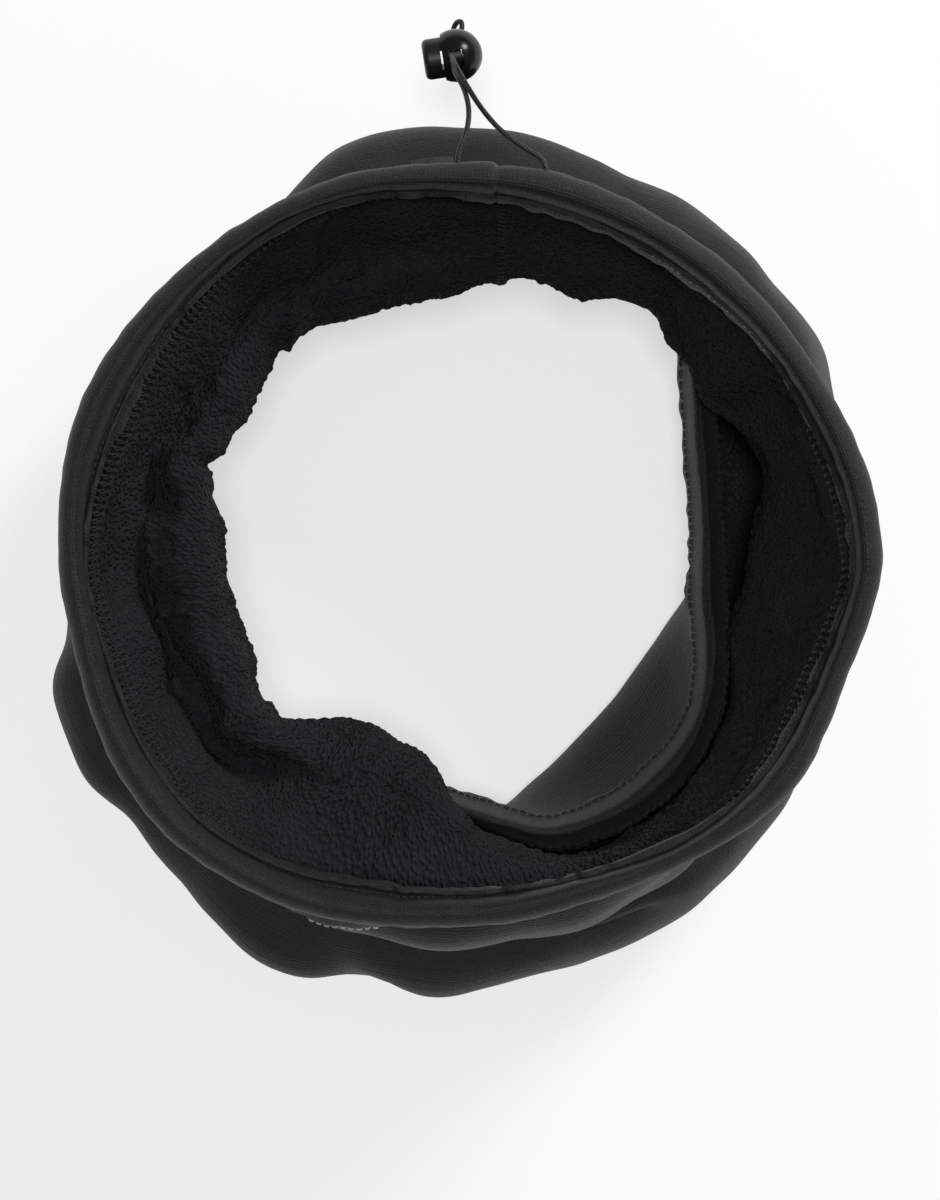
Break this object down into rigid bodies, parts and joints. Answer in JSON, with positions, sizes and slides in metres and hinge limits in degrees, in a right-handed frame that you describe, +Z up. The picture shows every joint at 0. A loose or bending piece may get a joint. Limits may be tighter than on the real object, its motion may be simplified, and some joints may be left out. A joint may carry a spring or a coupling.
{
  "type": "neck gaiter",
  "caption": "Slumped tube of smooth knit lined with waffle fleece, folded hems, an elastic drawcord in the top hem and a ball-shaped cord lock with a push button.",
  "frame": {"origin": "under the middle of the slumped tube, on the surface it stands on", "axes": "+Z up through the neck opening, +Y towards the back, where the cord lock hangs, +X to the wearer's right as the lock hangs behind"},
  "size_m": [0.19, 0.225, 0.11],
  "materials": {
    "shell_knit": "fine smooth knit",
    "waffle_fleece": "pebbly waffle fleece",
    "thread": "sewing thread",
    "elastic_cord": "smooth braided elastic cord",
    "lock_plastic": "polished moulding",
    "button_plastic": "polished moulding",
    "spring_steel": "drawn wire",
    "patch_print": "thin heat-pressed film"
  },
  "bodies": {
    "gaiter": {"shell_upper": "shell_knit", "shell_slope": "shell_knit", "shell_base": "shell_knit", "shell_turn_up": "shell_knit", "fleece_lining": "waffle_fleece", "top_hem": "shell_knit", "bottom_hem": "shell_knit", "top_hem_stitching": "thread", "bottom_hem_stitching": "thread", "back_seam_stitching": "thread", "left_cord_exit": "thread", "right_cord_exit": "thread", "drawcord": "elastic_cord", "drawcord_loop": "elastic_cord", "blank_patch": "patch_print"},
    "cord_lock": {"lock_housing": "lock_plastic", "lock_spring": "spring_steel"},
    "lock_button": {"lock_plunger": "button_plastic"}
  },
  "joints": [
    {"name": "lock_slide", "type": "slide", "parent": "gaiter", "child": "cord_lock", "axis": [0.0382, -0.2521, 0.9669], "range_m": [0, 0.008]},
    {"name": "plunger_press", "type": "slide", "parent": "cord_lock", "child": "lock_button", "axis": [0.9887, 0.15, 0], "range_m": [0, 0.0019], "stiffness_N_per_m": 900, "springref_m": -0.0012, "deforming": ["lock_spring"]}
  ]
}
